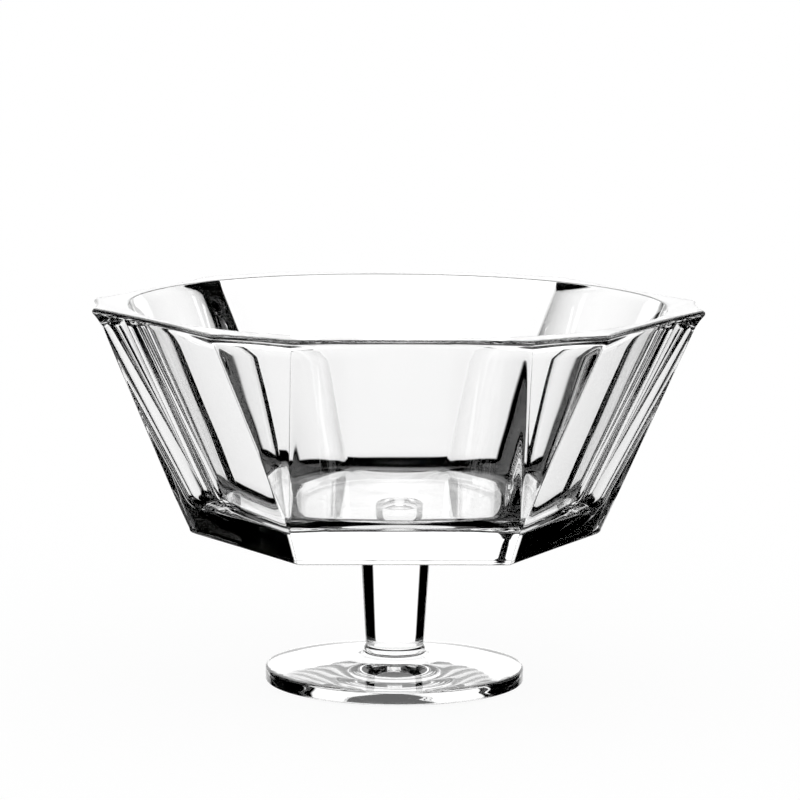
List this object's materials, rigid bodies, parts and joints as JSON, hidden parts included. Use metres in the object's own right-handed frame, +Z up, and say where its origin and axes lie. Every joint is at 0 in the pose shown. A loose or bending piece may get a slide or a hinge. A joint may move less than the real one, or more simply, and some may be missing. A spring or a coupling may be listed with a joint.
{
  "type": "footed fruit bowl",
  "caption": "Clear pressed-glass fruit bowl with a faceted, flaring body and round cavity, on a tapered round stem and a round foot.",
  "frame": {"origin": "middle of the foot's flat underside, on the axis of the stem", "axes": "+Z up along the stem; a wide panel of the bowl faces -Y"},
  "size_m": [0.2492, 0.2334, 0.1559],
  "materials": {
    "clear_glass": "fire-polished clear soda-lime glass, smooth and colourless",
    "clear_film": "clear cured adhesive film, matched to the glass"
  },
  "bodies": {
    "root": {"bowl": "clear_glass", "bowl_bond": "clear_film", "stem": "clear_glass", "foot_bond": "clear_film", "foot": "clear_glass"}
  },
  "joints": []
}
